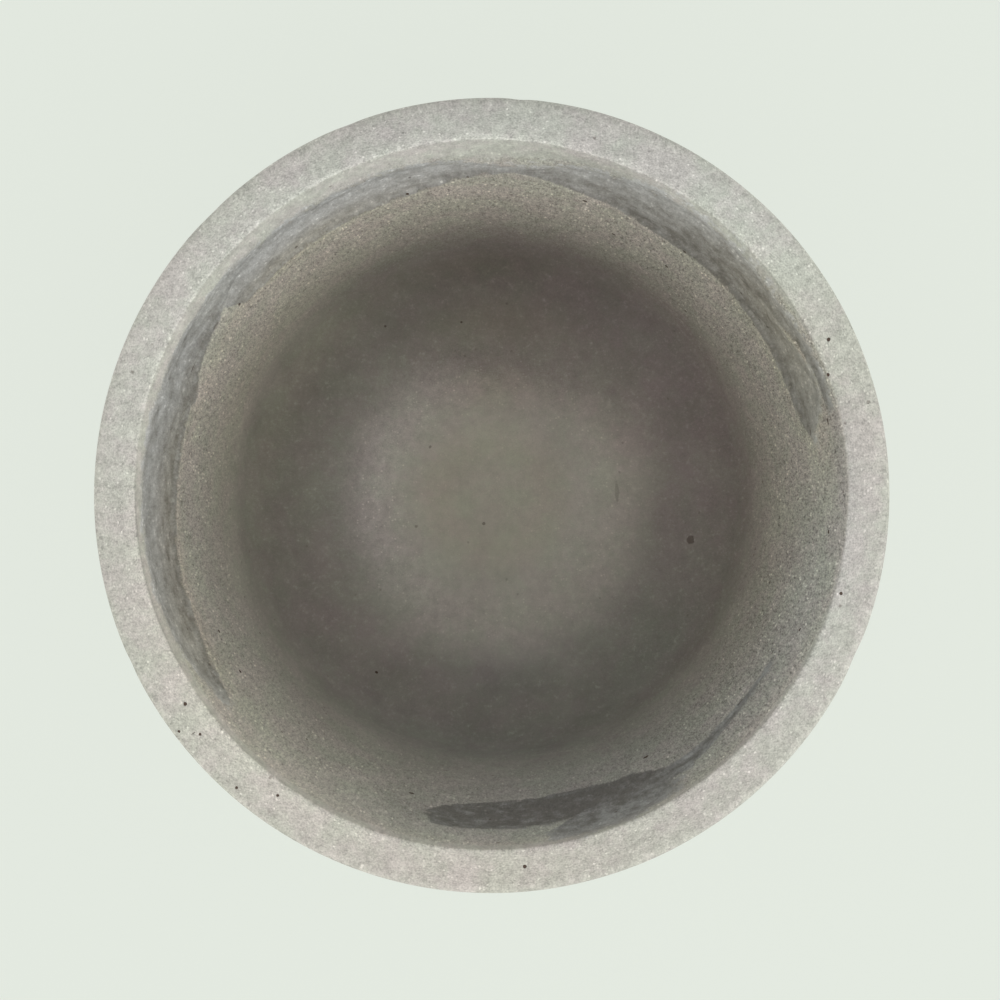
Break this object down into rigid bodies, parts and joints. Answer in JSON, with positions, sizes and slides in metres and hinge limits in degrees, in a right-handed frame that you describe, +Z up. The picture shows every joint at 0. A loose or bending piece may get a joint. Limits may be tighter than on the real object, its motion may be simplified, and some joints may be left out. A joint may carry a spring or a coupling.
{
  "type": "bowl planter",
  "caption": "Round concrete bowl planter with a thick flat rim, rounded lower corners, a closed floor and rubber pads under its flat base.",
  "frame": {"origin": "middle of the footprint, on the surface that the planter stands on, at the undersides of the rubber pads", "axes": "+Z up along the bowl's axis; seen from above, +X is the right of the picture and +Y is its top"},
  "size_m": [0.2, 0.2, 0.14],
  "materials": {
    "cast_concrete": "matte",
    "pad_rubber": "matte",
    "pad_adhesive": "satin"
  },
  "bodies": {
    "root": {"concrete_bowl": "cast_concrete", "foot_pad_1": "pad_rubber", "foot_pad_2": "pad_rubber", "foot_pad_3": "pad_rubber", "foot_pad_4": "pad_rubber", "pad_adhesive_1": "pad_adhesive", "pad_adhesive_2": "pad_adhesive", "pad_adhesive_3": "pad_adhesive", "pad_adhesive_4": "pad_adhesive"}
  },
  "joints": []
}
